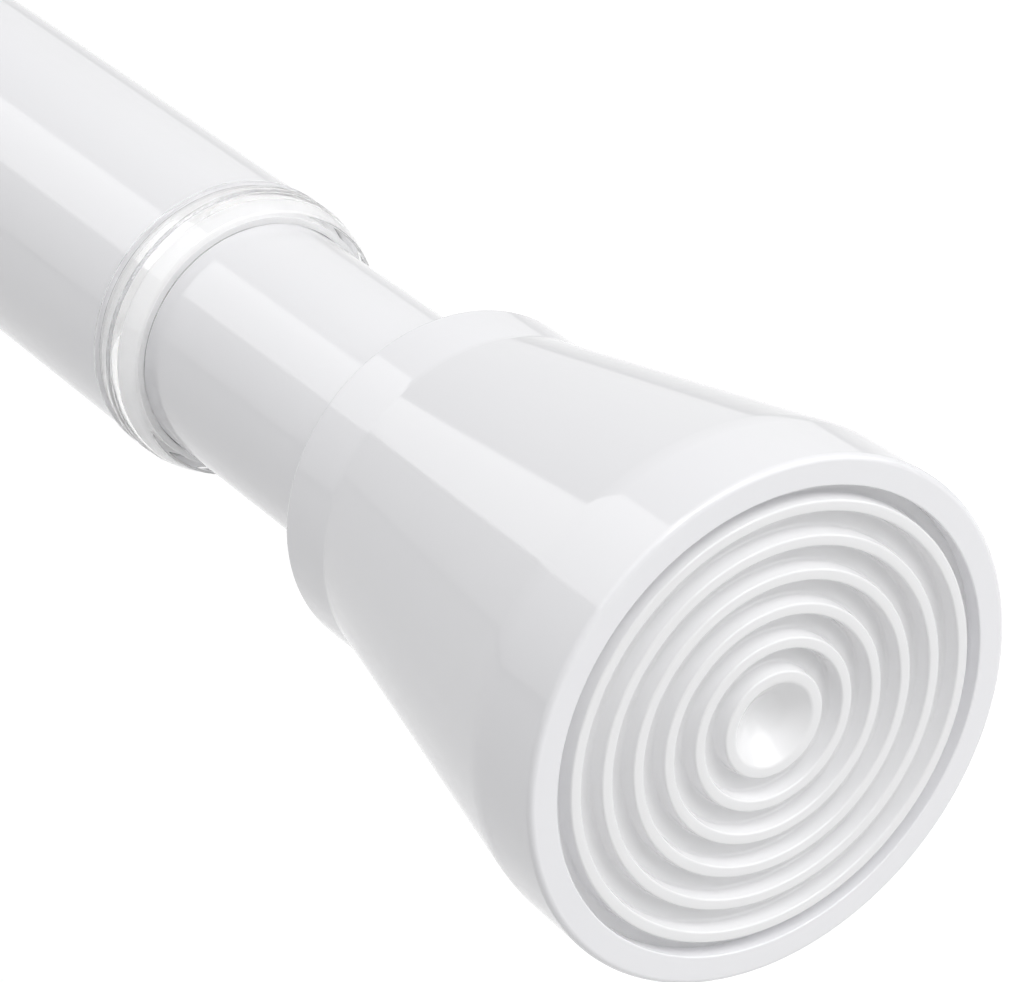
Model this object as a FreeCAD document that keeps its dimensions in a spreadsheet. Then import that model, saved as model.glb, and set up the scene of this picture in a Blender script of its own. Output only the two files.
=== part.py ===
"""Spring tension rod: two telescoping tubes with ribbed feet, a clear collar and a sprung twist lock inside.

The rod lies along X. The origin is on its axis, in the plane of the fixed foot's rim, and the
moving foot faces +X. Lengths are in millimetres.
"""

import FreeCAD
import Part
import Sketcher

import os
import re

# Driving dimensions

SIZES = {
    # tubes
    "outer_tube_diameter": 22.2,
    "outer_tube_wall": 0.6,
    "outer_tube_length": 340.0,
    "inner_tube_wall": 0.6,
    "exposed_length": 25.9,
    # clear collar at the mouth of the outer tube
    "collar_length": 4.7,
    "collar_spigot_length": 12.0,
    "collar_spigot_wall": 0.85,
    "collar_spigot_fit": 0.05,
    "collar_running_clearance": 0.1,
    "collar_proud": 0.15,
    "collar_lip_length": 0.35,
    "collar_groove_depth": 0.25,
    "collar_groove_length": 0.85,
    "collar_bead_length": 0.9,
    "collar_notch_length": 0.3,
    "collar_front_drop": 0.65,
    "collar_shoulder_drop": 0.18,
    "collar_shoulder_length": 1.2,
    # end caps
    "cap_length": 38.7,
    "rim_diameter": 37.5,
    "rim_width": 2.1,
    "rim_fillet": 0.45,
    "band_length": 6.4,
    "band_draft": 0.125,
    "neck_length": 5.1,
    "neck_wall": 1.975,
    "shell_wall": 2.0,
    "socket_fit": 0.05,
    "socket_wall": 2.0,
    "socket_floor": 2.0,
    "floor_setback": 6.7,
    "pad_ledge": 1.05,
    "rib_thickness": 1.6,
    "rib_count": 6,
    # ribbed foot pads
    "pad_thickness": 4.0,
    "pad_fit": 0.05,
    "crest_setback": 0.15,
    "ridge_height": 1.3,
    "ridge_top": 0.8,
    "ridge_flare": 0.28,
    "ridge_pitch": 2.366,
    "edge_groove": 0.99,
    "dish_minimum": 2.4,
    "dish_depth": 1.7,
    "pip_radius": 0.4,
    "pip_height": 0.25,
    # lock screw
    "screw_diameter": 8.0,
    "tip_clearance": 2.3,
    "tip_overhang": 1.0,
    "flange_thickness": 3.0,
    "shank_end_diameter": 6.0,
    "shank_end_overhang": 1.0,
    # nuts and washers
    "stop_nut_flats": 13.0,
    "stop_nut_thickness": 4.0,
    "retaining_nut_flats": 10.0,
    "retaining_nut_thickness": 5.0,
    "nut_fit": 0.05,
    "washer_thickness": 1.0,
    "washer_margin": 1.0,
    "washer_clearance": 0.2,
    "retaining_washer_thickness": 1.2,
    "retaining_washer_margin": 2.6,
    # wedge nut and split sleeve
    "wedge_backoff": 2.5,
    "wedge_flange_thickness": 2.0,
    "wedge_flange_setback": 0.9,
    "wedge_wall": 1.6,
    "wedge_clearance": 0.06,
    "wedge_thread_clearance": 0.05,
    "wedge_reach": 13.0,
    "key_reach": 11.0,
    "key_setback": 0.5,
    "key_clearance": 0.1,
    "mouth_gap": 1.0,
    "sleeve_length": 28.0,
    "sleeve_clearance": 0.1,
    "sleeve_bore_clearance": 0.1,
    "sleeve_end_float": 0.2,
    "finger_tip_wall": 2.15,
    "finger_length": 19.0,
    "taper_length": 15.0,
    "slit_length": 17.0,
    "slit_width": 2.2,
    # drag ring
    "ring_section": 1.8,
    "ring_clearance": 0.05,
    "ring_setback": 4.5,
    # spring
    "spring_length": 40.0,
    "spring_wire": 1.6,
    "spring_clearance": 1.2,
    "spring_active_turns": 5,
    "spring_end_gap": 0.15,
    # plug in the inner tube
    "plug_length": 20.0,
    "plug_flange": 2.0,
    "plug_flange_setback": 0.1,
    "plug_fit": 0.03,
    "shank_clearance": 0.1,
    "retaining_float": 0.2,
}

# Sizes and places that follow from the driving dimensions

DERIVED = {
    "outer_radius": "outer_tube_diameter / 2",
    "outer_bore": "outer_radius - outer_tube_wall",
    "spigot_radius": "outer_bore - collar_spigot_fit",
    "collar_bore": "spigot_radius - collar_spigot_wall",
    "inner_radius": "collar_bore - collar_running_clearance",
    "inner_bore": "inner_radius - inner_tube_wall",
    "collar_radius": "outer_radius + collar_proud",
    # end caps, measured from the rim plane
    "rim_radius": "rim_diameter / 2",
    "recess_radius": "rim_radius - rim_width",
    "ledge_radius": "recess_radius - pad_ledge",
    "band_radius": "rim_radius - band_draft",
    "neck_radius": "outer_radius + socket_fit + neck_wall",
    "cone_end": "cap_length - neck_length",
    "cone_slope": "(band_radius - neck_radius) / (cone_end - band_length)",
    "shell_offset": "shell_wall * sqrt(1 + cone_slope ^ 2)",
    "boss_front": "pad_thickness + floor_setback",
    "floor_place": "boss_front + socket_floor",
    # foot pads
    "pad_radius": "recess_radius - pad_fit",
    "groove_floor": "crest_setback + ridge_height",
    "outer_ridge": "recess_radius - edge_groove - ridge_top / 2",
    # places along the rod
    "tube_end": "floor_place + outer_tube_length",
    "rod_length": "tube_end + collar_length + exposed_length + cap_length",
    "screw_tip": "floor_place + tip_clearance",
    "stop_nut_place": "screw_tip + tip_overhang",
    "wedge_place": "stop_nut_place + stop_nut_thickness + wedge_backoff",
    "sleeve_place": "wedge_place + wedge_flange_thickness + mouth_gap",
    "flange_place": "sleeve_place + sleeve_length + sleeve_end_float",
    "seat_washer_place": "flange_place + flange_thickness",
    "spring_place": "seat_washer_place + washer_thickness",
    "plug_washer_place": "spring_place + spring_length",
    "plug_place": "plug_washer_place + washer_thickness",
    "inner_tube_place": "plug_place + plug_flange",
    "inner_tube_length": "rod_length - floor_place - inner_tube_place",
    "retaining_washer_place": "inner_tube_place + plug_length + retaining_float",
    "retaining_nut_place": "retaining_washer_place + retaining_washer_thickness",
    "ring_place": "sleeve_place + sleeve_length - ring_setback",
    # lock screw
    "screw_radius": "screw_diameter / 2",
    "shank_corner": "screw_diameter / sqrt(3)",
    "stud_length": "flange_place - screw_tip",
    "shank_start": "stud_length + flange_thickness",
    "shank_length": "retaining_washer_place - flange_place - flange_thickness",
    "shank_end": "shank_start + shank_length",
    "shank_end_length": "retaining_washer_thickness + retaining_nut_thickness + shank_end_overhang",
    # spring and its washers
    "spring_radius": "shank_corner + spring_clearance + spring_wire / 2",
    "spring_outside": "spring_radius + spring_wire / 2",
    "spring_end_pitch": "spring_wire + spring_end_gap",
    "spring_active_length": "spring_length - 2 * spring_end_pitch",
    "washer_radius": "spring_outside + washer_margin",
    "washer_bore": "shank_corner + washer_clearance",
    # split sleeve and wedge
    "sleeve_radius": "outer_bore - sleeve_clearance",
    "sleeve_bore": "screw_radius + sleeve_bore_clearance",
    "mouth_radius": "sleeve_radius - finger_tip_wall",
    "throat_radius": "screw_radius + wedge_wall",
    "taper_slope": "(mouth_radius - throat_radius) / taper_length",
    "wedge_root": "mouth_radius + taper_slope * mouth_gap - wedge_clearance",
    "wedge_tip": "mouth_radius - taper_slope * wedge_reach - wedge_clearance",
    "wedge_length": "wedge_flange_thickness + mouth_gap + wedge_reach",
    "ring_groove_floor": "sleeve_radius - ring_section - ring_clearance",
    "ring_groove_half": "ring_section / 2 + 2 * ring_clearance",
}

doc = FreeCAD.newDocument("spring_tension_rod")
sheet = doc.addObject("Spreadsheet::Sheet", "Sizes")
for row, (alias, size) in enumerate(SIZES.items(), start=1):
    sheet.set(f"A{row}", alias)
    sheet.set(f"B{row}", str(size))
    sheet.setAlias(f"B{row}", alias)
doc.recompute()


def formula(text):
    """The expression with every name traced back to the cells of the sheet."""

    def cell(found):
        name = found.group(0)
        if name in DERIVED:
            return "(" + formula(DERIVED[name]) + ")"
        return "Sizes." + name if name in SIZES else name

    return re.sub(r"[a-z_]\w*", cell, text)


def value(text):
    """The expression's present value as a number."""
    return float(sheet.evalExpression(formula(text)))


# Sketches and features

SAME = 1e-6
parts = []


def new_body(label, place="0"):
    """A body whose own origin lies at the given place along the rod."""
    body = doc.addObject("PartDesign::Body", label)
    body.Label = label
    body.setExpression("Placement.Base.x", formula(place))
    parts.append(body)
    return body


def new_sketch(body, name, role, offset="0"):
    """An empty sketch on one of the body's origin planes, moved along that plane's normal."""
    sketch = body.newObject("Sketcher::SketchObject", name)
    plane = next(item for item in body.Origin.OriginFeatures if item.Role == role)
    sketch.AttachmentSupport = (plane, [""])
    sketch.MapMode = "FlatFace"
    sketch.setExpression("AttachmentOffset.Base.z", formula(offset))
    return sketch


def pin_point(sketch, geometry, end, x, y, name):
    """Hold one point of the sketch at the given distances from its origin."""
    for kind, axis, text in (("DistanceX", "x", x), ("DistanceY", "y", y)):
        index = sketch.addConstraint(Sketcher.Constraint(kind, -1, 1, geometry, end, value(text)))
        sketch.renameConstraint(index, axis + name)
        sketch.setExpression("Constraints." + axis + name, formula(text))


def draw_outline(sketch, corners):
    """A closed run of straight lines, each corner held by its two distances."""
    spots = [FreeCAD.Vector(value(x), value(y), 0) for x, y in corners]
    first = sketch.GeometryCount
    for spot, following in zip(spots, spots[1:] + spots[:1]):
        sketch.addGeometry(Part.LineSegment(spot, following), False)
    for index, (x, y) in enumerate(corners):
        following = (index + 1) % len(corners)
        sketch.addConstraint(Sketcher.Constraint("Coincident", first + index, 2, first + following, 1))
        pin_point(sketch, first + index, 1, x, y, str(first + index))


def draw_circle(sketch, radius, x="0", y="0"):
    """A circle held by its centre and radius."""
    centre = FreeCAD.Vector(value(x), value(y), 0)
    index = sketch.addGeometry(Part.Circle(centre, FreeCAD.Vector(0, 0, 1), value(radius)), False)
    pin_point(sketch, index, 3, x, y, str(index))
    held = sketch.addConstraint(Sketcher.Constraint("Radius", index, value(radius)))
    sketch.renameConstraint(held, "radius" + str(index))
    sketch.setExpression("Constraints.radius" + str(index), formula(radius))


def hexagon(flats):
    """The corners of a hexagon with the given width across its flats."""
    corner = f"({flats}) / sqrt(3)"
    half = f"({flats}) / 2"
    return [
        (corner, "0"),
        (f"{corner} / 2", half),
        (f"-{corner} / 2", half),
        (f"-{corner}", "0"),
        (f"-{corner} / 2", f"-{half}"),
        (f"{corner} / 2", f"-{half}"),
    ]


def rectangle(x_low, y_low, x_high, y_high):
    """The corners of a rectangle."""
    return [(x_low, y_low), (x_high, y_low), (x_high, y_high), (x_low, y_high)]


def revolve(body, name, corners):
    """A turned form: the outline in X and radius, swept once round the rod's axis."""
    sketch = new_sketch(body, name + "_sketch", "XY_Plane")
    draw_outline(sketch, corners)
    turned = body.newObject("PartDesign::Revolution", name)
    turned.Profile = sketch
    turned.ReferenceAxis = (sketch, ["H_Axis"])
    turned.Angle = 360
    doc.recompute()
    return turned


def pad(body, name, sketch, length, symmetric=False):
    """An extrusion along the sketch's normal, or half of it to each side."""
    grown = body.newObject("PartDesign::Pad", name)
    grown.Profile = sketch
    grown.Midplane = symmetric
    grown.setExpression("Length", formula(length))
    doc.recompute()
    return grown


def cut(body, name, sketch, length, symmetric=False, reverse=False):
    """A pocket that has to take material away."""
    before = body.Shape.Volume
    pocket = body.newObject("PartDesign::Pocket", name)
    pocket.Profile = sketch
    pocket.Midplane = symmetric
    pocket.Reversed = reverse
    pocket.setExpression("Length", formula(length))
    doc.recompute()
    if not body.Shape.Volume < before:
        raise RuntimeError(name + " cuts nothing")
    return pocket


def repeat_round(body, name, feature, turn, count):
    """Copies of a feature about the rod's axis, spread over the given angle."""
    pattern = body.newObject("PartDesign::PolarPattern", name)
    pattern.Originals = [feature]
    axis = next(item for item in body.Origin.OriginFeatures if item.Role == "X_Axis")
    pattern.Axis = (axis, [""])
    pattern.Angle = turn
    pattern.Occurrences = count
    body.Tip = pattern
    doc.recompute()
    return pattern


def round_edges(body, name, radius, place, circle_radius):
    """A fillet on the circular edges of that radius in the plane at that place along the body."""
    base = body.Tip
    found = []
    for index, edge in enumerate(base.Shape.Edges, start=1):
        if not isinstance(edge.Curve, Part.Circle):
            continue
        off_place = abs(edge.Curve.Center.x - value(place))
        off_radius = abs(edge.Curve.Radius - value(circle_radius))
        if max(off_place, off_radius) < SAME:
            found.append(f"Edge{index}")
    fillet = body.newObject("PartDesign::Fillet", name)
    fillet.Base = (base, found)
    fillet.setExpression("Radius", formula(radius))
    doc.recompute()
    return fillet


# Pieces

def build_ring(label, place, length, inside, outside):
    """A plain tube or washer."""
    body = new_body(label, place)
    revolve(body, label + "_turned", rectangle("0", inside, length, outside))


def build_collar():
    """Clear bush: a spigot in the outer tube, and outside it a flange with a lip, a bead and a nose."""
    body = new_body("clear_collar", "tube_end")
    bottom = "collar_radius - collar_groove_depth"
    bead = "collar_lip_length + collar_groove_length"
    notch = f"{bead} + collar_bead_length"
    nose = f"{notch} + collar_notch_length"
    revolve(body, "collar_turned", [
        ("-collar_spigot_length", "collar_bore"),
        ("-collar_spigot_length", "spigot_radius"),
        ("0", "spigot_radius"),
        ("0", "collar_radius"),
        ("collar_lip_length", "collar_radius"),
        ("collar_lip_length + collar_groove_depth / 2", bottom),
        (f"{bead} - collar_groove_depth / 2", bottom),
        (bead, "collar_radius"),
        (notch, "collar_radius"),
        (f"{notch} + collar_notch_length / 2", bottom),
        (nose, "collar_radius"),
        ("collar_length - collar_shoulder_length", "collar_radius - collar_shoulder_drop"),
        ("collar_length", "collar_radius - collar_front_drop"),
        ("collar_length", "collar_bore"),
    ])


def build_cap(label, tube_radius, turned_round):
    """Moulded cap: rim, end band, cone and neck outside; the tube's socket and the pad's ribs inside."""
    body = new_body(label, "rod_length" if turned_round else "0")
    if turned_round:
        body.Placement = FreeCAD.Placement(
            body.Placement.Base, FreeCAD.Rotation(FreeCAD.Vector(0, 0, 1), 180)
        )
    socket = f"{tube_radius} + socket_fit"
    boss = f"{tube_radius} + socket_fit + socket_wall"
    inner_line = "band_length + (band_radius - shell_offset - ({})) / cone_slope"
    revolve(body, label + "_turned", [
        ("0", "recess_radius"),
        ("0", "rim_radius"),
        ("band_length", "band_radius"),
        ("cone_end", "neck_radius"),
        ("cap_length", "neck_radius"),
        ("cap_length", socket),
        ("floor_place", socket),
        ("floor_place", "0"),
        ("boss_front", "0"),
        ("boss_front", boss),
        (inner_line.format(boss), boss),
        (inner_line.format("ledge_radius"), "ledge_radius"),
        ("pad_thickness", "ledge_radius"),
        ("pad_thickness", "recess_radius"),
    ])
    reach = "ledge_radius + pad_ledge / 2"
    sketch = new_sketch(body, label + "_rib_sketch", "YZ_Plane", "pad_thickness")
    draw_outline(sketch, rectangle(f"-({reach})", "-rib_thickness / 2", reach, "rib_thickness / 2"))
    rib = pad(body, label + "_rib", sketch, "floor_setback + socket_floor / 2")
    pairs = int(value("rib_count")) // 2
    repeat_round(body, label + "_ribs", rib, 180 - 180 / pairs, pairs)
    round_edges(body, label + "_rim_edge", "rim_fillet", "0", "rim_radius")


def build_foot_pad(label, turned_round):
    """Soft pad with concentric ridges round a dished centre, sunk in the cap's rim."""
    body = new_body(label, "rod_length" if turned_round else "0")
    if turned_round:
        body.Placement = FreeCAD.Placement(
            body.Placement.Base, FreeCAD.Rotation(FreeCAD.Vector(0, 0, 1), 180)
        )
    corners = [
        ("pad_thickness", "0"),
        ("pad_thickness", "pad_radius"),
        ("groove_floor", "pad_radius"),
    ]
    ridges = 1 + int(value("(outer_ridge - dish_minimum) / ridge_pitch"))
    for index in range(ridges):
        crest = f"outer_ridge - {index} * ridge_pitch"
        corners += [
            ("groove_floor", f"{crest} + ridge_top / 2 + ridge_flare"),
            ("crest_setback", f"{crest} + ridge_top / 2"),
            ("crest_setback", f"{crest} - ridge_top / 2"),
        ]
        if index < ridges - 1:
            corners.append(("groove_floor", f"{crest} - ridge_top / 2 - ridge_flare"))
    corners += [
        ("crest_setback + dish_depth", "pip_radius"),
        ("crest_setback + dish_depth - pip_height", "0"),
    ]
    revolve(body, label + "_turned", corners)


def build_nut(label, place, flats, thickness, thread_radius):
    """A plain hexagon nut."""
    body = new_body(label, place)
    sketch = new_sketch(body, label + "_sketch", "YZ_Plane")
    draw_outline(sketch, hexagon(flats))
    draw_circle(sketch, f"{thread_radius} + nut_fit")
    pad(body, label + "_pad", sketch, thickness)


def build_screw():
    """Lock screw: threaded stud, flange that carries the spring, hexagon shank and end for the nut."""
    body = new_body("lock_screw", "screw_tip")
    revolve(body, "screw_turned", [
        ("0", "0"),
        ("0", "screw_radius"),
        ("stud_length", "screw_radius"),
        ("stud_length", "washer_radius"),
        ("shank_start", "washer_radius"),
        ("shank_start", "shank_end_diameter / 2"),
        ("shank_end + shank_end_length", "shank_end_diameter / 2"),
        ("shank_end + shank_end_length", "0"),
    ])
    sketch = new_sketch(body, "shank_sketch", "YZ_Plane", "shank_start")
    draw_outline(sketch, hexagon("screw_diameter"))
    pad(body, "screw_shank", sketch, "shank_length")


def build_sleeve():
    """Split sleeve: four fingers over a tapered mouth, and a solid end with a groove for the drag ring."""
    body = new_body("lock_sleeve", "sleeve_place")
    groove = "sleeve_length - ring_setback"
    revolve(body, "sleeve_turned", [
        ("0", "mouth_radius"),
        ("0", "sleeve_radius"),
        (f"{groove} - ring_groove_half", "sleeve_radius"),
        (f"{groove} - ring_groove_half", "ring_groove_floor"),
        (f"{groove} + ring_groove_half", "ring_groove_floor"),
        (f"{groove} + ring_groove_half", "sleeve_radius"),
        ("sleeve_length", "sleeve_radius"),
        ("sleeve_length", "sleeve_bore"),
        ("finger_length", "sleeve_bore"),
        ("finger_length", "throat_radius"),
        ("taper_length", "throat_radius"),
    ])
    sketch = new_sketch(body, "slit_sketch", "XY_Plane")
    draw_outline(sketch, rectangle("-mouth_gap", "-outer_bore", "slit_length", "outer_bore"))
    slit = cut(body, "slit", sketch, "slit_width", symmetric=True)
    repeat_round(body, "slits", slit, 90, 2)


def build_wedge():
    """Wedge nut: a cone that fills the sleeve's mouth, with keys that ride in the slits."""
    body = new_body("wedge_nut", "wedge_place")
    revolve(body, "wedge_turned", [
        ("0", "0"),
        ("0", "sleeve_radius - wedge_flange_setback"),
        ("wedge_flange_thickness", "sleeve_radius - wedge_flange_setback"),
        ("wedge_flange_thickness", "wedge_root"),
        ("wedge_length", "wedge_tip"),
        ("wedge_length", "0"),
    ])
    reach = "sleeve_radius - key_setback"
    key_end = "wedge_flange_thickness + mouth_gap + key_reach"
    sketch = new_sketch(body, "key_sketch", "XY_Plane")
    draw_outline(sketch, rectangle("wedge_flange_thickness / 2", f"-({reach})", key_end, reach))
    key = pad(body, "key", sketch, "slit_width - 2 * key_clearance", symmetric=True)
    repeat_round(body, "keys", key, 90, 2)
    bore = new_sketch(body, "wedge_bore_sketch", "YZ_Plane")
    draw_circle(bore, "screw_radius + wedge_thread_clearance")
    cut(body, "wedge_bore", bore, "wedge_length", reverse=True)


def build_plug():
    """Plug in the inner tube's hidden end, with a hexagon hole that the screw's shank slides in."""
    body = new_body("tube_plug", "plug_place")
    revolve(body, "plug_turned", [
        ("0", "0"),
        ("0", "inner_radius - plug_flange_setback"),
        ("plug_flange", "inner_radius - plug_flange_setback"),
        ("plug_flange", "inner_bore - plug_fit"),
        ("plug_flange + plug_length", "inner_bore - plug_fit"),
        ("plug_flange + plug_length", "0"),
    ])
    sketch = new_sketch(body, "plug_hole_sketch", "YZ_Plane")
    draw_outline(sketch, hexagon("screw_diameter + 2 * shank_clearance"))
    cut(body, "plug_hole", sketch, "plug_flange + plug_length", reverse=True)


def build_spring():
    """Compression spring: one closed coil at each end, active coils between, and both ends ground flat.

    Each half turn of wire is a half ring that leans with the pitch. The wire crosses the XY plane
    square to it at both ends of a half turn, so the half rings run smoothly into each other.
    """
    radius = value("spring_radius")
    wire = value("spring_wire") / 2
    end_halves = [value("spring_end_pitch") / 2] * 2
    active_count = 2 * int(value("spring_active_turns"))
    active_halves = [value("spring_active_length") / active_count] * active_count
    across = FreeCAD.Vector(0, 0, 1)
    along = FreeCAD.Vector(1, 0, 0)
    middle = FreeCAD.Vector(0, 0, 0)
    side = FreeCAD.Vector(0, radius, 0)
    sections = [Part.makeCircle(wire, middle + side, across)]
    faces = []
    for rise in end_halves + active_halves + end_halves:
        step = along * rise
        lean = along * (2 * radius) + side * (rise / radius)
        faces += sections[-1].revolve(middle + step / 2, lean, 180).Faces
        middle += step
        side = -side
        sections.append(Part.makeCircle(wire, middle + side, across))
    faces += [Part.Face(Part.Wire(section)) for section in (sections[0], sections[-1])]
    skin = Part.makeShell(faces)
    skin.sewShape()
    ground = Part.makeCylinder(2 * radius, value("spring_length"), FreeCAD.Vector(0, 0, 0), along)
    spring = doc.addObject("Part::Feature", "tension_spring")
    spring.Label = "tension_spring"
    spring.Shape = Part.makeSolid(skin).common(ground).Solids[0]
    spring.setExpression("Placement.Base.x", formula("spring_place"))
    parts.append(spring)


def build_drag_ring():
    """Rubber ring in the sleeve's groove, which keeps the sleeve from turning with the screw."""
    ring = doc.addObject("Part::Torus", "drag_ring")
    ring.Label = "drag_ring"
    ring.setExpression("Radius1", formula("sleeve_radius - ring_section / 2"))
    ring.setExpression("Radius2", formula("ring_section / 2"))
    ring.Placement = FreeCAD.Placement(
        FreeCAD.Vector(0, 0, 0), FreeCAD.Rotation(FreeCAD.Vector(0, 1, 0), 90)
    )
    ring.setExpression("Placement.Base.x", formula("ring_place"))
    parts.append(ring)


build_ring("outer_tube", "floor_place", "outer_tube_length", "outer_bore", "outer_radius")
build_collar()
build_cap("fixed_end_cap", "outer_radius", False)
build_foot_pad("fixed_foot_pad", False)
build_ring("inner_tube", "inner_tube_place", "inner_tube_length", "inner_bore", "inner_radius")
build_cap("moving_end_cap", "inner_radius", True)
build_foot_pad("moving_foot_pad", True)
build_plug()
build_ring("plug_washer", "plug_washer_place", "washer_thickness", "washer_bore", "washer_radius")
build_spring()
build_ring("seat_washer", "seat_washer_place", "washer_thickness", "washer_bore", "washer_radius")
build_screw()
build_ring(
    "retaining_washer",
    "retaining_washer_place",
    "retaining_washer_thickness",
    "shank_end_diameter / 2 + nut_fit",
    "shank_corner + retaining_washer_margin",
)
build_nut(
    "retaining_nut",
    "retaining_nut_place",
    "retaining_nut_flats",
    "retaining_nut_thickness",
    "shank_end_diameter / 2",
)
build_sleeve()
build_drag_ring()
build_wedge()
build_nut("stop_nut", "stop_nut_place", "stop_nut_flats", "stop_nut_thickness", "screw_radius")

# Check every object, then write each piece

doc.recompute()
for item in doc.Objects:
    if "Invalid" in item.State or "Error" in item.State:
        raise RuntimeError(item.Name + " failed: " + str(item.State))
for part in parts:
    if part.Shape.isNull() or not part.Shape.isValid():
        raise RuntimeError(part.Label + " has no valid shape")
    if len(part.Shape.Solids) != 1:
        raise RuntimeError(f"{part.Label} has {len(part.Shape.Solids)} solids")

os.makedirs("parts", exist_ok=True)
for part in parts:
    part.Shape.exportStep(f"parts/{part.Label}.step")
    box = part.Shape.optimalBoundingBox(False, False)
    print(
        f"{part.Label}: X {box.XMin:.2f} to {box.XMax:.2f}, radius {box.YMax:.2f},"
        f" volume {part.Shape.Volume:.1f}"
    )
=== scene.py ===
"""Looks of a spring tension rod: white telescoping tubes, a clear collar and two ribbed conical feet.

The rod lies along X, as in the frame. Places come from the frame, and sizes of details are in millimetres.
"""

import math

import bmesh
import bpy
from mathutils import Matrix, Vector


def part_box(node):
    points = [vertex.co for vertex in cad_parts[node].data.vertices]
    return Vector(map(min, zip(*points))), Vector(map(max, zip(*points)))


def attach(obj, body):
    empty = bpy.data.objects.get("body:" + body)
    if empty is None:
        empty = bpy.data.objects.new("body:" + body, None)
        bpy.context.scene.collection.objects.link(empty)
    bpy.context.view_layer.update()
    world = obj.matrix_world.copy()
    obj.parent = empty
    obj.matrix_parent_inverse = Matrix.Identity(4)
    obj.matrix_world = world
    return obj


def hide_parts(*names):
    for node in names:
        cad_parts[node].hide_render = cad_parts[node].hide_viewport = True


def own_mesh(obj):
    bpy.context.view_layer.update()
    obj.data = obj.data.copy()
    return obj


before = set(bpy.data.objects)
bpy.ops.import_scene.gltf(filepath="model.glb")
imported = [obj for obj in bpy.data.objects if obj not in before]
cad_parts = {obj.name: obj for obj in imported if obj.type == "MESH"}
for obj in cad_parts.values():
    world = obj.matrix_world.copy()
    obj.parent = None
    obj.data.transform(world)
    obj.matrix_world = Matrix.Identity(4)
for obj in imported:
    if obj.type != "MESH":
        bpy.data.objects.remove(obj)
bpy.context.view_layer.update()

MM = 0.001
TURN_STEPS = 240
ARC_STEPS = 6
SHARP_TURN = math.radians(40)
SAME_SPOT = 0.0001 * MM
LARGE_FACES_LEAD = 100


# Meshes

def turned(corners, start, facing=1):
    """A form spun round the rod's axis.

    Each corner is its distance from the start, its radius and its rounding, in millimetres.
    """
    shape = bmesh.new()
    dots = []
    for along, radius, _ in corners:
        dots.append(shape.verts.new((start + facing * along * MM, 0, radius * MM)))
    for dot, following in zip(dots, dots[1:] + dots[:1]):
        if dot.co.z or following.co.z:
            shape.edges.new((dot, following))
    for dot, (_, _, rounding) in zip(dots, corners):
        if rounding:
            bmesh.ops.bevel(
                shape, geom=[dot], offset=rounding * MM, offset_type="OFFSET",
                segments=ARC_STEPS, profile=0.5, affect="VERTICES", material=-1,
            )
    bmesh.ops.spin(
        shape, geom=shape.verts[:] + shape.edges[:], cent=(0, 0, 0), axis=(1, 0, 0),
        dvec=(0, 0, 0), angle=2 * math.pi, steps=TURN_STEPS, use_merge=True,
    )
    bmesh.ops.remove_doubles(shape, verts=shape.verts, dist=SAME_SPOT)
    bmesh.ops.recalc_face_normals(shape, faces=shape.faces)
    return shape


def make_piece(name, shape, material, body, node=None):
    """The finished form as a piece that rides on its body and stands for its CAD node, if it has one."""
    mesh = bpy.data.meshes.new(name)
    shape.to_mesh(mesh)
    shape.free()
    mesh.shade_smooth()
    mesh.set_sharp_from_angle(angle=SHARP_TURN)
    mesh.materials.append(material)
    piece = bpy.data.objects.new(name, mesh)
    bpy.context.scene.collection.objects.link(piece)
    even = piece.modifiers.new("even_shading", "WEIGHTED_NORMAL")
    even.weight = LARGE_FACES_LEAD
    even.keep_sharp = True
    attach(piece, body)
    if node:
        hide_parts(node)
    return piece


# Materials

def linear(code):
    """An sRGB hex colour as linear red, green, blue and alpha."""
    shares = [int(code[i:i + 2], 16) / 255 for i in (1, 3, 5)]
    return [s / 12.92 if s <= 0.04045 else ((s + 0.055) / 1.055) ** 2.4 for s in shares] + [1]


def add(tree, kind, inputs, **settings):
    """A node with its settings, each input linked to a socket or set to a value."""
    node = tree.nodes.new(kind)
    for name, setting in settings.items():
        setattr(node, name, setting)
    for name, source in inputs.items():
        if isinstance(source, bpy.types.NodeSocket):
            tree.links.new(source, node.inputs[name])
        else:
            node.inputs[name].default_value = source
    return node


def mottled(name, tints, gloss, cloud, grain, relief, stretch=(1, 1, 1)):
    """A finish whose colour and gloss drift over a cloud's width, under a fine relief, in millimetres."""
    material = bpy.data.materials.new(name)
    material.use_nodes = True
    tree = material.node_tree
    shader = tree.nodes["Principled BSDF"]
    place = tree.nodes.new("ShaderNodeTexCoord").outputs["Object"]
    drawn = add(tree, "ShaderNodeMapping", {"Vector": place, "Scale": stretch})
    drift = add(tree, "ShaderNodeTexNoise", {"Vector": place, "Scale": 1 / (cloud * MM), "Detail": 2.0})
    fine = add(tree, "ShaderNodeTexNoise", {
        "Vector": drawn.outputs["Vector"], "Scale": 1 / (grain * MM), "Detail": 1.0,
    })
    tint = add(tree, "ShaderNodeMix", {
        "Factor": drift.outputs["Fac"], "A": linear(tints[0]), "B": linear(tints[1]),
    }, data_type="RGBA")
    shine = add(tree, "ShaderNodeMapRange", {
        "Value": drift.outputs["Fac"], "To Min": gloss[0], "To Max": gloss[1],
    })
    bump = add(tree, "ShaderNodeBump", {"Height": fine.outputs["Fac"], "Distance": relief * MM})
    tree.links.new(tint.outputs["Result"], shader.inputs["Base Color"])
    tree.links.new(shine.outputs["Result"], shader.inputs["Roughness"])
    tree.links.new(bump.outputs["Normal"], shader.inputs["Normal"])
    return material, shader.inputs


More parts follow.
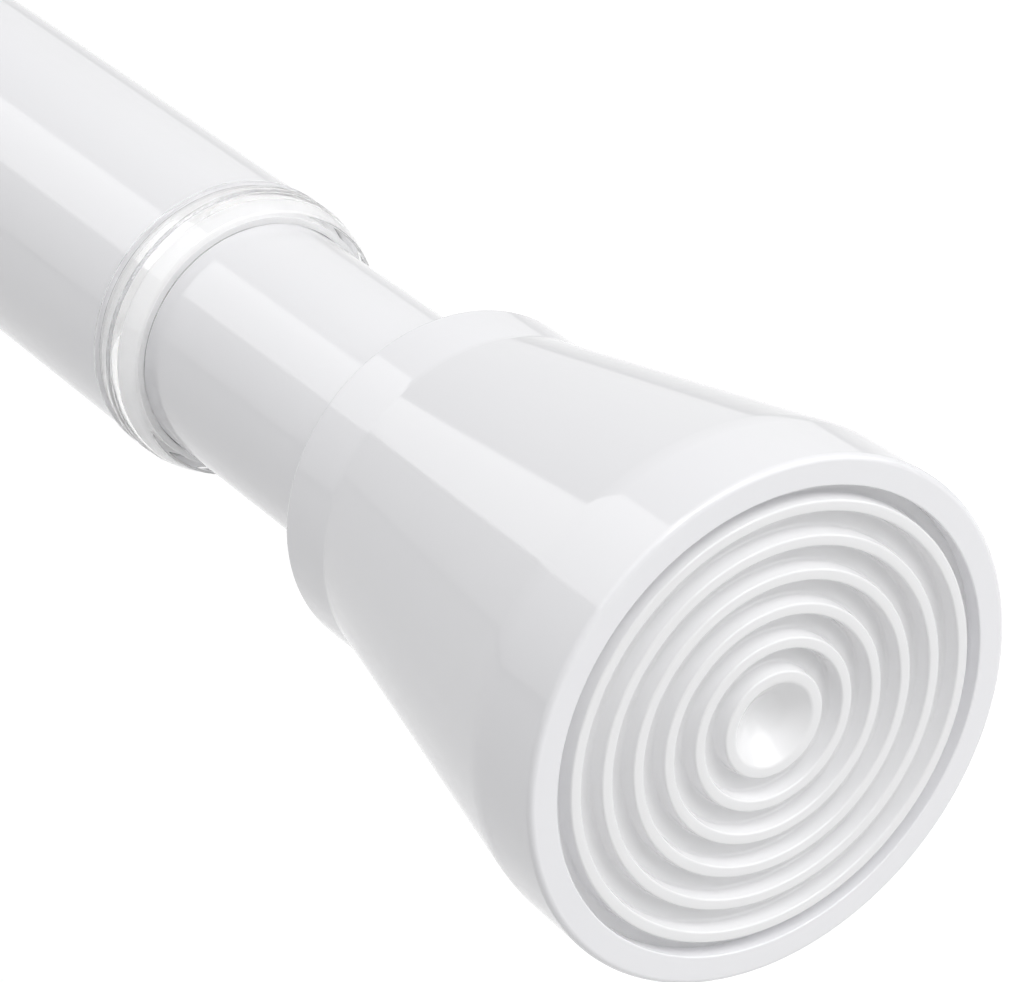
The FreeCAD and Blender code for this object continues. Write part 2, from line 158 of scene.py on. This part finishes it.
# Rolled steel tube under gloss enamel: an even cool white that mirrors the lamps, with a faint orange peel.
enamel, sockets = mottled("enamelled_rolled_steel", ("#F1F1F4", "#F4F4F6"), (0.08, 0.1), 30, 1.2, 0.002)
sockets["IOR"].default_value = 1.52

# White ABS from a polished mould: clear reflections, very slightly wavy.
abs_white, sockets = mottled("polished_moulded_abs", ("#F1F1F4", "#F4F4F6"), (0.06, 0.08), 25, 4, 0.003)
sockets["IOR"].default_value = 1.53

# White acetal bush as it leaves the mould: a denser and more neutral white than the caps, half gloss.
acetal, sockets = mottled("moulded_white_acetal", ("#F9F9FA", "#FBFBFC"), (0.2, 0.28), 10, 0.5, 0.002)
sockets["IOR"].default_value = 1.48

# Soft white thermoplastic rubber, moulded smooth: a softer gloss and a less cool white than the hard cap's.
rubber_white, sockets = mottled(
    "smooth_moulded_soft_rubber", ("#F1F1F2", "#F4F4F5"), (0.13, 0.17), 12, 0.35, 0.001,
)
sockets["IOR"].default_value = 1.5

# Clear moulded polystyrene with a breath of haze: the white sleeve behind it shows as bright and grey bands.
clear, sockets = mottled("clear_moulded_polystyrene", ("#FBFBFB", "#FFFFFF"), (0.02, 0.04), 6, 2, 0.001)
sockets["IOR"].default_value = 1.5
sockets["Transmission Weight"].default_value = 0.9

# Unfilled nylon as it leaves the mould: a warm off-white that lets some light in, half matt.
nylon, sockets = mottled("moulded_natural_nylon", ("#E6E2D6", "#EEEBE1"), (0.35, 0.45), 8, 0.4, 0.004)
sockets["IOR"].default_value = 1.53
sockets["Subsurface Weight"].default_value = 0.2
sockets["Subsurface Scale"].default_value = 1 * MM

# Turned steel, zinc plated: a cool bright grey, clouded by the bath, with tool marks round the axis.
zinc, sockets = mottled(
    "zinc_plated_turned_steel", ("#B4B9C0", "#CBCED2"), (0.24, 0.38), 3, 0.3, 0.006, stretch=(1, 0, 0),
)
sockets["Metallic"].default_value = 1.0

# Oil-tempered spring wire: dark, brownish grey steel with a dull gloss.
spring_wire, sockets = mottled(
    "oil_tempered_spring_wire", ("#5C5955", "#726F6B"), (0.3, 0.42), 2, 0.25, 0.004,
)
sockets["Metallic"].default_value = 1.0

# Moulded nitrile rubber: black, matt, with a fine grain.
nitrile, sockets = mottled("moulded_nitrile_rubber", ("#1B1B1C", "#242425"), (0.55, 0.68), 3, 0.2, 0.006)
sockets["IOR"].default_value = 1.52


# Tubes

TUBE_WALL = 0.6
TUBE_EDGE = 0.12


def build_tube(name, node, body):
    """A rolled tube with its cut ends just broken."""
    low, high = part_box(node)
    length = (high.x - low.x) / MM
    radius = high.z / MM
    shape = turned([
        (0, radius - TUBE_WALL, TUBE_EDGE),
        (0, radius, TUBE_EDGE),
        (length, radius, TUBE_EDGE),
        (length, radius - TUBE_WALL, TUBE_EDGE),
    ], low.x)
    make_piece(name, shape, enamel, body, node)


build_tube("outer_tube_enamelled", "outer_tube", "outer_tube")
build_tube("inner_tube_enamelled", "inner_tube", "inner_tube")


# Collar: its ring overlaps the tube's end and the sleeve by the fit where it is joined to them, and stays
# clear of the sleeve by as much under the lip and the bead.

RUNNING_GAP = 0.04
SLEEVE_FIT = 0.05
LINER_WALL = 0.5
RING_FIT = 0.02
LINER_SETBACK = 0.33
LIP, GROOVE, BEAD, NOTCH = 0.35, 0.85, 0.9, 0.3
GROOVE_DEPTH = 0.25
GROOVE_FLANK = 0.12
SHOULDER_LENGTH, SHOULDER_DROP, FRONT_DROP = 1.2, 0.18, 0.65
CRISP, SOFT, ROUND = 0.05, 0.1, 0.25
SHOULDER_ROUNDING = 0.9


def build_collar():
    """Clear ring at the outer tube's mouth, with lip, bead and tapered nose, round a white sleeve."""
    low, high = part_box("clear_collar")
    tube_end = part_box("outer_tube")[1]
    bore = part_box("inner_tube")[1].z / MM + RUNNING_GAP
    proud = high.z / MM
    deep = proud - GROOVE_DEPTH
    length = (high.x - tube_end.x) / MM
    bead = LIP + GROOVE
    notch = bead + BEAD
    nose = notch + NOTCH
    liner = bore + LINER_WALL
    liner_end = length - LINER_SETBACK
    ring = turned([
        (-RING_FIT, liner + RING_FIT, 0),
        (-RING_FIT, proud, SOFT),
        (LIP, proud, SOFT),
        (LIP + GROOVE_FLANK, deep, SOFT),
        (bead - GROOVE_FLANK, deep, SOFT),
        (bead, proud, ROUND),
        (notch, proud, ROUND),
        (notch + NOTCH / 2, deep, SOFT),
        (nose, proud, ROUND),
        (length - SHOULDER_LENGTH, proud - SHOULDER_DROP, SHOULDER_ROUNDING),
        (length, proud - FRONT_DROP, ROUND),
        (length, bore, SOFT),
        (liner_end - RING_FIT, bore, 0),
        (liner_end - RING_FIT, liner - RING_FIT, 0),
        (nose, liner - RING_FIT, 0),
        (nose, liner + RING_FIT, 0),
    ], tube_end.x)
    make_piece("collar_ring", ring, clear, "outer_tube", "clear_collar")
    inside = tube_end.z / MM - TUBE_WALL - SLEEVE_FIT
    depth = (tube_end.x - low.x) / MM
    sleeve = turned([
        (liner_end, bore, CRISP),
        (liner_end, liner, CRISP),
        (0, liner, 0),
        (0, inside, CRISP),
        (-depth, inside, SOFT),
        (-depth, bore, SOFT),
    ], tube_end.x)
    make_piece("collar_sleeve", sleeve, acetal, "outer_tube")


build_collar()


# End caps

CAP_LENGTH = 38.7
RIM_RADIUS = 18.75
RIM_WIDTH = 2.1
BAND_LENGTH = 6.4
BAND_DRAFT = 0.125
NECK_LENGTH = 5.1
NECK_RADIUS = 13.125
SHELL_WALL = 2.0
SOCKET_FIT = 0.05
SOCKET_WALL = 2.0
SOCKET_FLOOR = 12.7
BOSS_FRONT = 10.7
PAD_THICKNESS = 4.0
PAD_LEDGE = 1.05
RIB_BARS = 3
RIB_THICKNESS = 1.6
RIB_BITE = 1.0
RECESS_EDGE = 0.12
RIM_ROUNDING = 0.45
BAND_ROUNDING = 0.8
NECK_ROUNDING = 0.3
NECK_END_ROUNDING = 0.35
SOCKET_EDGE = 0.15


def build_cap(name, node, body, tube_radius, start, facing):
    """Moulded cap: rim, end band, cone and neck outside, the tube's socket and a ribbed hollow inside."""
    recess = RIM_RADIUS - RIM_WIDTH
    ledge = recess - PAD_LEDGE
    band = RIM_RADIUS - BAND_DRAFT
    cone_end = CAP_LENGTH - NECK_LENGTH
    slope = (band - NECK_RADIUS) / (cone_end - BAND_LENGTH)
    offset = SHELL_WALL * math.hypot(1, slope)
    socket = tube_radius + SOCKET_FIT
    boss = socket + SOCKET_WALL

    def hollow_depth(radius):
        """How far behind the rim the hollow inside the cone has this radius."""
        return BAND_LENGTH + (band - offset - radius) / slope

    shape = turned([
        (0, recess, RECESS_EDGE),
        (0, RIM_RADIUS, RIM_ROUNDING),
        (BAND_LENGTH, band, BAND_ROUNDING),
        (cone_end, NECK_RADIUS, NECK_ROUNDING),
        (CAP_LENGTH, NECK_RADIUS, NECK_END_ROUNDING),
        (CAP_LENGTH, socket, SOCKET_EDGE),
        (SOCKET_FLOOR, socket, 0),
        (SOCKET_FLOOR, 0, 0),
        (BOSS_FRONT, 0, 0),
        (BOSS_FRONT, boss, 0),
        (hollow_depth(boss), boss, 0),
        (hollow_depth(ledge), ledge, 0),
        (PAD_THICKNESS, ledge, 0),
        (PAD_THICKNESS, recess, 0),
    ], start, facing)
    rib_back = BOSS_FRONT + RIB_BITE
    rib_size = ((rib_back - PAD_THICKNESS) * MM, RIB_THICKNESS * MM, 2 * (ledge + PAD_LEDGE / 2) * MM)
    rib_middle = start + facing * (rib_back + PAD_THICKNESS) / 2 * MM
    for index in range(RIB_BARS):
        turn = Matrix.Rotation(math.pi / 2 + index * math.pi / RIB_BARS, 4, "X")
        place = Matrix.Translation((rib_middle, 0, 0)) @ turn @ Matrix.Diagonal((*rib_size, 1))
        bmesh.ops.create_cube(shape, size=1, matrix=place)
    make_piece(name, shape, abs_white, body, node)


# Foot pads

PAD_RIDGES = 6
RIDGE_CREST = 0.02
RIDGE_DEPTH = 1.25
RIDGE_TOP = 0.8
RIDGE_FLARE = 0.14
RIDGE_PITCH = 2.366
EDGE_GROOVE = 0.99
CREST_ROUNDING = 0.14
FLOOR_ROUNDING = 0.2
BOWL_DEPTH = 1.8
BOWL_FLOOR = 1.0
BOWL_ROUNDING = 0.95


def build_pad(name, node, body, start, facing):
    """Soft pad: concentric ridges with steep flanks and rounded crests round a bowl in the middle."""
    outside = RIM_RADIUS - RIM_WIDTH
    groove = RIDGE_CREST + RIDGE_DEPTH
    half = RIDGE_TOP / 2
    corners = [
        (PAD_THICKNESS, 0, 0),
        (PAD_THICKNESS, outside, 0),
        (groove, outside, 0),
    ]
    for index in range(PAD_RIDGES):
        middle = outside - EDGE_GROOVE - half - index * RIDGE_PITCH
        corners += [
            (groove, middle + half + RIDGE_FLARE, FLOOR_ROUNDING),
            (RIDGE_CREST, middle + half, CREST_ROUNDING),
            (RIDGE_CREST, middle - half, CREST_ROUNDING),
        ]
        if index < PAD_RIDGES - 1:
            corners.append((groove, middle - half - RIDGE_FLARE, FLOOR_ROUNDING))
    corners += [
        (RIDGE_CREST + BOWL_DEPTH, BOWL_FLOOR, BOWL_ROUNDING),
        (RIDGE_CREST + BOWL_DEPTH, 0, 0),
    ]
    make_piece(name, turned(corners, start, facing), rubber_white, body, node)


fixed_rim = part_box("fixed_end_cap")[0].x
moving_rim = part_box("moving_end_cap")[1].x
outer_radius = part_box("outer_tube")[1].z / MM
inner_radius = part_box("inner_tube")[1].z / MM
build_cap("fixed_cap_moulded", "fixed_end_cap", "outer_tube", outer_radius, fixed_rim, 1)
build_cap("moving_cap_moulded", "moving_end_cap", "inner_tube", inner_radius, moving_rim, -1)
build_pad("fixed_pad_ribbed", "fixed_foot_pad", "outer_tube", fixed_rim, 1)
build_pad("moving_pad_ribbed", "moving_foot_pad", "inner_tube", moving_rim, -1)


# Spring

WIRE = 1.6
WIRE_SIDES = 16
COIL_STEPS = 60
ACTIVE_TURNS = 5
END_PITCH = 1.75


def build_spring():
    """Compression spring: a closed turn at each end, open turns between, both ends ground flat."""
    low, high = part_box("tension_spring")
    coil_radius = high.z - WIRE / 2 * MM
    active_pitch = ((high.x - low.x) / MM - 2 * END_PITCH) / ACTIVE_TURNS
    shape = bmesh.new()
    section = Matrix.Translation((low.x, coil_radius, 0))
    bmesh.ops.create_circle(shape, segments=WIRE_SIDES, radius=WIRE / 2 * MM, matrix=section)
    last = shape.verts[:] + shape.edges[:]
    for turns, pitch in ((1, END_PITCH), (ACTIVE_TURNS, active_pitch), (1, END_PITCH)):
        spun = bmesh.ops.spin(
            shape, geom=last, cent=(0, 0, 0), axis=(1, 0, 0), dvec=(pitch / COIL_STEPS * MM, 0, 0),
            angle=2 * math.pi * turns, steps=COIL_STEPS * turns, use_merge=False,
        )
        last = spun["geom_last"]
    bmesh.ops.remove_doubles(shape, verts=shape.verts, dist=SAME_SPOT)
    for end, outward in ((low.x, -1), (high.x, 1)):
        bmesh.ops.bisect_plane(
            shape, geom=shape.verts[:] + shape.edges[:] + shape.faces[:], dist=SAME_SPOT,
            plane_co=(end, 0, 0), plane_no=(outward, 0, 0), clear_outer=True,
        )
    bmesh.ops.holes_fill(shape, edges=[edge for edge in shape.edges if edge.is_boundary])
    bmesh.ops.recalc_face_normals(shape, faces=shape.faces)
    piece = make_piece("spring_coiled", shape, spring_wire, "lock_screw", "tension_spring")
    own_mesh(piece)


build_spring()


# The lock's pieces keep their solids and get their own finish.

finishes = {
    "lock_sleeve": nylon,
    "wedge_nut": nylon,
    "tube_plug": nylon,
    "lock_screw": zinc,
    "stop_nut": zinc,
    "seat_washer": zinc,
    "plug_washer": zinc,
    "retaining_washer": zinc,
    "retaining_nut": zinc,
    "drag_ring": nitrile,
}
for name, material in finishes.items():
    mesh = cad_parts[name].data
    mesh.materials.clear()
    mesh.materials.append(material)


# Floor and light, in metres

FLOOR_SIZE = 8
FLOOR_DROP = 120 * MM
FLOOR_LIFT = 0.45
SURROUND_FILL = 0.1
SURROUND_SEEN = 1.0
LAMP_DISTANCE = 1.2
STRIP_SETBACK = 1.4


def seen_share(tree):
    """A mask for what shows to the eye, in mirrors and through clear plastic, but lights nothing."""
    ray = tree.nodes.new("ShaderNodeLightPath").outputs
    mirrored = add(tree, "ShaderNodeMath", {
        0: ray["Is Camera Ray"], 1: ray["Is Glossy Ray"],
    }, operation="MAXIMUM")
    seen = add(tree, "ShaderNodeMath", {
        0: mirrored.outputs[0], 1: ray["Is Transmission Ray"],
    }, operation="MAXIMUM")
    return seen.outputs[0]


def lay_floor():
    """A pale floor well below the rod, which hangs between its walls."""
    bpy.ops.mesh.primitive_plane_add(size=FLOOR_SIZE, location=(moving_rim, 0, -FLOOR_DROP))
    floor = bpy.context.object
    floor.name = "floor"
    material = bpy.data.materials.new("pale_floor")
    material.use_nodes = True
    tree = material.node_tree
    tree.nodes.clear()
    lift = add(tree, "ShaderNodeMath", {0: seen_share(tree), 1: FLOOR_LIFT}, operation="MULTIPLY")
    paint = add(tree, "ShaderNodeBsdfDiffuse", {"Color": linear("#E2E2E2")})
    glow = add(tree, "ShaderNodeEmission", {"Color": linear("#FFFFFF"), "Strength": lift.outputs[0]})
    both = add(tree, "ShaderNodeAddShader", {0: paint.outputs[0], 1: glow.outputs[0]})
    add(tree, "ShaderNodeOutputMaterial", {"Surface": both.outputs[0]})
    floor.data.materials.append(material)


def light_world():
    """A white surround to the eye, and a softer even light on the rod."""
    world = bpy.data.worlds.new("studio")
    world.use_nodes = True
    bpy.context.scene.world = world
    tree = world.node_tree
    tree.nodes.clear()
    strength = add(tree, "ShaderNodeMix", {
        "Factor": seen_share(tree), "A": SURROUND_FILL, "B": SURROUND_SEEN,
    }, data_type="FLOAT")
    surround = add(tree, "ShaderNodeBackground", {
        "Color": linear("#FFFFFF"), "Strength": strength.outputs[0],
    })
    add(tree, "ShaderNodeOutputWorld", {"Surface": surround.outputs[0]})


def toward(bearing, height):
    """Where a lamp hangs from what it lights, in degrees: bearing from the moving foot's front to +Y."""
    bearing, height = math.radians(bearing), math.radians(height)
    level = math.cos(height)
    return LAMP_DISTANCE * Vector((level * math.cos(bearing), level * math.sin(bearing), math.sin(height)))


def hang_softbox(name, middle, aim, width, length, glow):
    """A soft rectangular lamp of even brightness, its length along the rod as far as its aim allows."""
    lamp = bpy.data.lights.new(name, "AREA")
    lamp.shape = "RECTANGLE"
    lamp.size = length
    lamp.size_y = width
    lamp.energy = glow * math.pi * width * length
    holder = bpy.data.objects.new(name, lamp)
    bpy.context.scene.collection.objects.link(holder)
    back = (middle - aim).normalized()
    along = (Vector((1, 0, 0)) - back * back.x).normalized()
    turn = Matrix((along, back.cross(along), back)).transposed().to_4x4()
    holder.matrix_world = Matrix.Translation(middle) @ turn


foot = Vector((moving_rim, 0, 0))
on_rod = foot - Vector((STRIP_SETBACK, 0, 0))
lay_floor()
light_world()
hang_softbox("strip_left", on_rod + toward(-90, 63), on_rod, width=0.95, length=5.0, glow=1.38)
hang_softbox("top_box", foot + toward(10, 60), foot, width=0.7, length=0.7, glow=3.95)
hang_softbox("front_box", foot + toward(44, 27), foot, width=1.0, length=1.0, glow=1.98)


# The camera stands where the photograph was taken from: its focal length and the foot's place were fitted
# to the outlines of the tubes, the neck, the cone and the rim. In the picture X runs right, Y down and Z
# away from the eye.

IMAGE_WIDTH = 1009
FOCAL_PIXELS = 4425
TILT_TO_AXIS = math.radians(42.898)
AXIS_SLANT = math.radians(35.979)
FOOT_PLACE = Vector((0.9172, 0.7953, 15.017)) * RIM_RADIUS * MM
SENSOR_WIDTH = 36
NEAR_LIMIT = 10 * MM

axis = Vector((
    math.sin(TILT_TO_AXIS) * math.cos(AXIS_SLANT),
    math.sin(TILT_TO_AXIS) * math.sin(AXIS_SLANT),
    -math.cos(TILT_TO_AXIS),
))
look_down = math.atan(math.tan(TILT_TO_AXIS) * math.sin(AXIS_SLANT))
up = Vector((0, -math.cos(look_down), -math.sin(look_down)))
from_picture = Matrix((axis, up.cross(axis), up))
right = from_picture @ Vector((1, 0, 0))
upward = from_picture @ Vector((0, -1, 0))
backward = from_picture @ Vector((0, 0, -1))
turn = Matrix((right, upward, backward)).transposed().to_4x4()
camera = bpy.data.cameras.new("camera")
camera.sensor_width = SENSOR_WIDTH
camera.lens = FOCAL_PIXELS / IMAGE_WIDTH * SENSOR_WIDTH
camera.clip_start = NEAR_LIMIT
eye = bpy.data.objects.new("camera", camera)
bpy.context.scene.collection.objects.link(eye)
eye.matrix_world = Matrix.Translation(foot - from_picture @ FOOT_PLACE) @ turn
bpy.context.scene.camera = eye

bpy.context.scene.view_settings.view_transform = "Standard"
